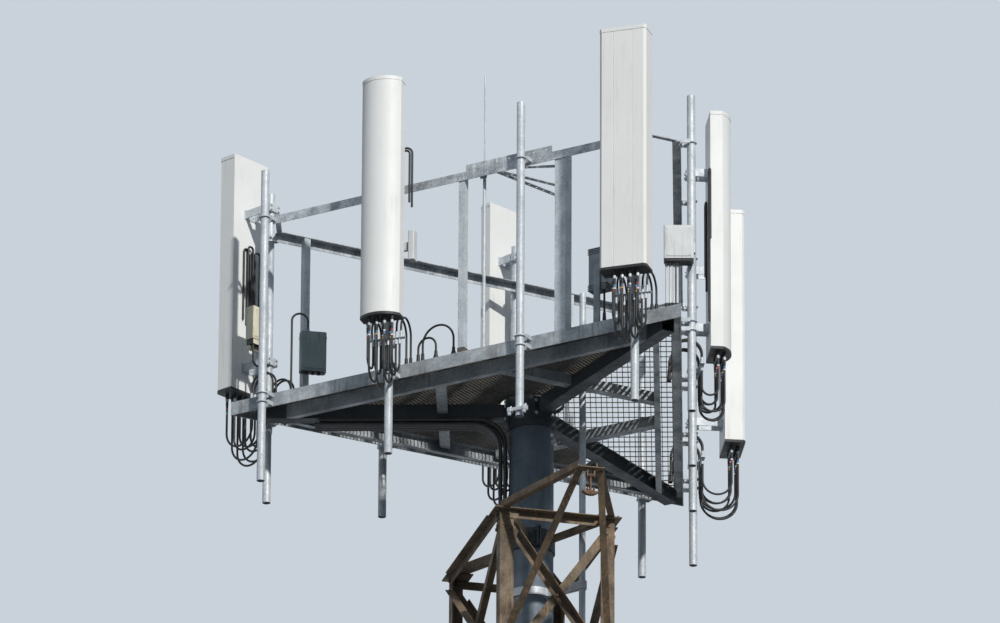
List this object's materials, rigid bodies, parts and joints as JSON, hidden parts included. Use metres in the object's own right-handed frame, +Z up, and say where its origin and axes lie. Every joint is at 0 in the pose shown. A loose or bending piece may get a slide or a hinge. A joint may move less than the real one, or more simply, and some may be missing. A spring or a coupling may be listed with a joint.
{
  "type": "cell tower",
  "caption": "Steel pole inside a brown lattice tower, with a triangular antenna platform, panel antennas, handrail, pipes and cables on top.",
  "frame": {"origin": "on the pole's axis at ground level", "axes": "+Z up, +Y to the far side of the picture's view, +X to its right"},
  "size_m": [3.8857, 4.0274, 13.5333],
  "materials": {
    "pole_grey": "dull blue-grey paint",
    "lattice_brown": "weathered brown, rust stained",
    "dark_steel": "dark weathered steel",
    "rusty_iron": "rusty cast iron",
    "galvanized": "weathered hot-dip zinc",
    "grating_steel": "weathered steel grating",
    "radome": "warm grey fibreglass",
    "cable_black": "black cable jacket",
    "black_plastic": "black moulded plastic",
    "box_cream": "cream plastic",
    "box_green_grey": "green-grey powder coat",
    "finned_aluminium": "dark anodized fins",
    "box_white": "white plastic"
  },
  "bodies": {
    "tower": {"pole_shaft": "pole_grey", "pole_base_flange": "pole_grey", "leg_near_left": "lattice_brown", "leg_near_right": "lattice_brown", "leg_far_right": "lattice_brown", "leg_far_left": "lattice_brown", "cage_side_near": "lattice_brown", "cage_side_right": "lattice_brown", "cage_side_far": "lattice_brown", "cage_side_left": "lattice_brown", "base_side_near": "lattice_brown", "base_side_right": "lattice_brown", "base_side_far": "lattice_brown", "base_side_left": "lattice_brown", "top_frame": "lattice_brown", "pole_collar": "dark_steel", "cross_arm": "lattice_brown", "ring_mount": "dark_steel", "deck_arms": "dark_steel", "deck_frame": "galvanized", "deck_joists": "galvanized", "deck_grating_near": "grating_steel", "deck_grating_right": "grating_steel", "deck_grating_left": "grating_steel", "handrail": "galvanized", "handrail_posts": "galvanized", "antenna_pipes_near": "galvanized", "antenna_pipes_right": "galvanized", "antenna_pipes_left": "galvanized", "pipe_clamps_near": "galvanized", "pipe_clamps_right": "galvanized", "pipe_clamps_left": "galvanized", "antenna_near_curved": "radome", "antenna_near_flat": "radome", "antenna_right_curved": "radome", "antenna_right_flat": "radome", "antenna_left_curved": "radome", "antenna_left_flat": "radome", "antenna_brackets_near": "galvanized", "antenna_brackets_right": "galvanized", "antenna_brackets_left": "galvanized", "whip_rod": "galvanized", "riser_pipe": "galvanized", "riser_brackets": "galvanized", "feeder_cables": "cable_black", "feeder_hangers": "black_plastic", "antenna_bases": "black_plastic", "jumper_cables_near": "cable_black", "jumper_cables_right": "cable_black", "jumper_cables_left": "cable_black", "cable_bars": "galvanized", "cable_boots": "black_plastic", "cable_loops": "cable_black", "radio_cream": "box_cream", "radio_green": "box_green_grey", "radio_finned": "finned_aluminium", "radio_white": "box_white", "rail_splice": "galvanized", "rail_arms": "galvanized"},
    "line_clamp": {"line_clamp": "rusty_iron"}
  },
  "joints": [
    {"name": "line_clamp_swing", "type": "hinge", "parent": "tower", "child": "line_clamp", "pos_m": [0.45163, -1.62854, 10.173], "axis": [0.9636, 0.2672, 0], "range_deg": [-50, 50]}
  ]
}
